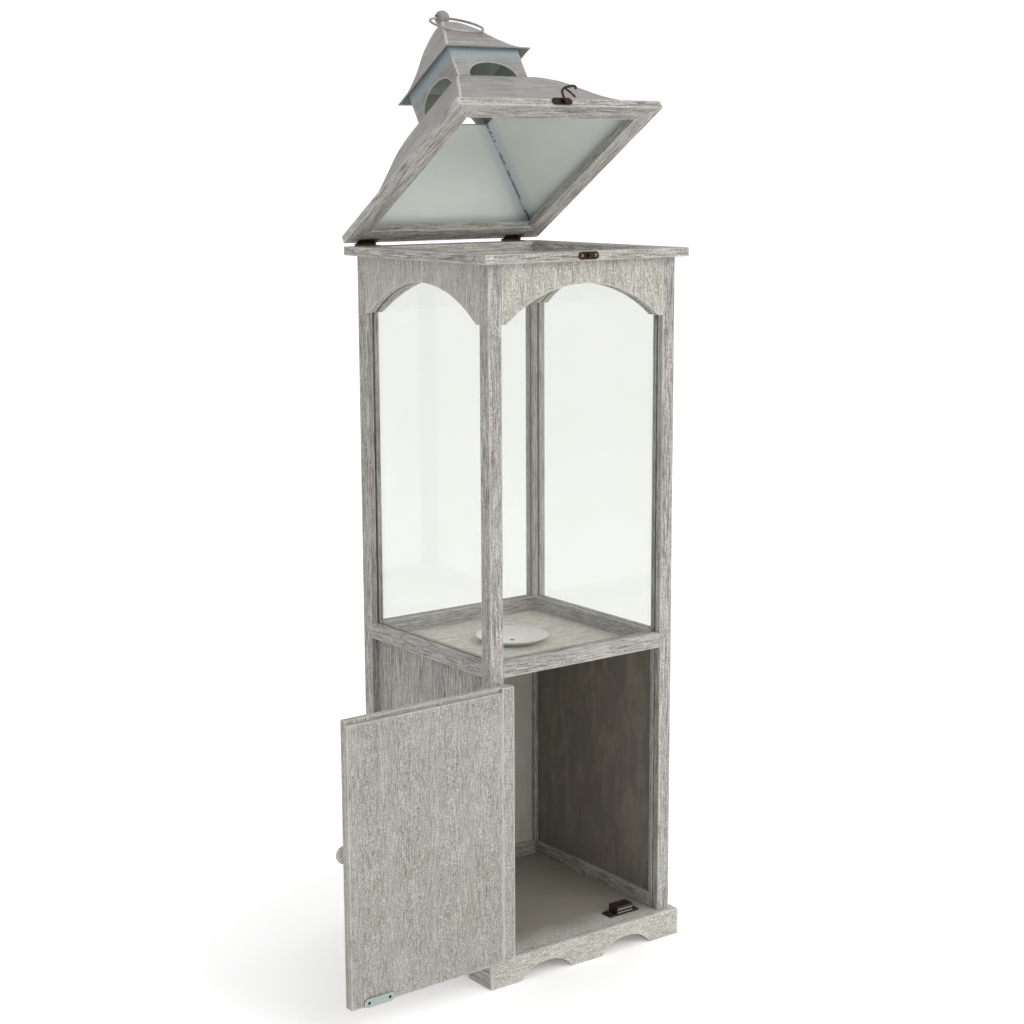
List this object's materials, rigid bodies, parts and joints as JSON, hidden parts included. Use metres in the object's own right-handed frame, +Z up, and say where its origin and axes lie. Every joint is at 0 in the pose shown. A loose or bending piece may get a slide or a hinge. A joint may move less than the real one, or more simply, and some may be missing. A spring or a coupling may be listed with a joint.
{
  "type": "hurricane candle lantern",
  "caption": "Tall square wooden candle lantern with glass panes, a hinged ogee roof lid with cupola and ring, and a cupboard with a hinged door in its base.",
  "frame": {"origin": "on the ground under the middle of the front plinth board, on the underside of its middle foot", "axes": "+Z up, -Y out of the front with the door, +X to the right seen from the front"},
  "size_m": [0.4945, 0.3194, 1.1438],
  "materials": {
    "whitewashed_wood": "greige wash over grain, matt",
    "stained_ply": "dark grey-brown wash, matt",
    "clear_glass": "clear",
    "painted_sheet": "brushed weathered grey paint",
    "aged_bronze": "dark antique, rubbed edges",
    "zinc_plate": "zinc plated",
    "brown_plastic": "moulded",
    "white_enamel": "white enamel, satin"
  },
  "bodies": {
    "base": {"bottom_rail_back": "whitewashed_wood", "bottom_rail_left": "whitewashed_wood", "bottom_rail_right": "whitewashed_wood", "candle_dish": "white_enamel", "door_hinge_lower_fixed_leaf": "aged_bronze", "door_hinge_upper_fixed_leaf": "aged_bronze", "eye_plate": "aged_bronze", "floor_panel": "stained_ply", "glass_back": "clear_glass", "glass_front": "clear_glass", "glass_left": "clear_glass", "glass_right": "clear_glass", "headboard_back": "whitewashed_wood", "headboard_front": "whitewashed_wood", "headboard_left": "whitewashed_wood", "headboard_right": "whitewashed_wood", "lid_hinge_left_fixed_leaf": "aged_bronze", "lid_hinge_right_fixed_leaf": "aged_bronze", "lower_panel_back": "stained_ply", "lower_panel_left": "stained_ply", "lower_panel_right": "stained_ply", "magnetic_catch": "brown_plastic", "middle_rail_back": "whitewashed_wood", "middle_rail_front": "whitewashed_wood", "middle_rail_left": "whitewashed_wood", "middle_rail_right": "whitewashed_wood", "plinth_back": "whitewashed_wood", "plinth_front": "whitewashed_wood", "plinth_left": "whitewashed_wood", "plinth_right": "whitewashed_wood", "post_back_left": "whitewashed_wood", "post_back_right": "whitewashed_wood", "post_front_left": "whitewashed_wood", "post_front_right": "whitewashed_wood", "rim_back": "whitewashed_wood", "rim_front": "whitewashed_wood", "rim_left": "whitewashed_wood", "rim_right": "whitewashed_wood", "shelf": "whitewashed_wood"},
    "lid": {"lid_hinge_left_moving_leaf": "aged_bronze", "lid_hinge_right_moving_leaf": "aged_bronze", "lid_rail_back": "whitewashed_wood", "lid_rail_front": "whitewashed_wood", "lid_rail_left": "whitewashed_wood", "lid_rail_right": "whitewashed_wood", "main_roof": "painted_sheet", "cupola": "painted_sheet", "small_roof": "painted_sheet", "latch_plate": "aged_bronze"},
    "door": {"door_hinge_lower_moving_leaf": "aged_bronze", "door_hinge_upper_moving_leaf": "aged_bronze", "door_knob": "whitewashed_wood", "door_lining": "whitewashed_wood", "door_rail_bottom": "whitewashed_wood", "door_rail_top": "whitewashed_wood", "door_stile_free": "whitewashed_wood", "door_stile_hinge": "whitewashed_wood", "strike_plate": "zinc_plate"},
    "ring": {"carrying_ring": "painted_sheet"},
    "hook": {"hook": "aged_bronze"}
  },
  "joints": [
    {"name": "lid_hinge", "type": "hinge", "parent": "base", "child": "lid", "pos_m": [0, 0.2868, 0.86], "axis": [-1, 0, 0], "range_deg": [-32.7, 147.3]},
    {"name": "door_hinge", "type": "hinge", "parent": "base", "child": "door", "pos_m": [-0.1164, -0.0032, 0.2], "axis": [0, 0, 1], "range_deg": [-11.7, 178.3]},
    {"name": "ring_swing", "type": "hinge", "parent": "lid", "child": "ring", "pos_m": [0, 0.28383, 1.13451], "axis": [-1, 0, 0], "range_deg": [0, 281]},
    {"name": "hook_swing", "type": "hinge", "parent": "lid", "child": "hook", "pos_m": [-0.0005, 0.03766, 1.02798], "axis": [0, -0.8415, 0.5402], "range_deg": [-173, 60]}
  ]
}
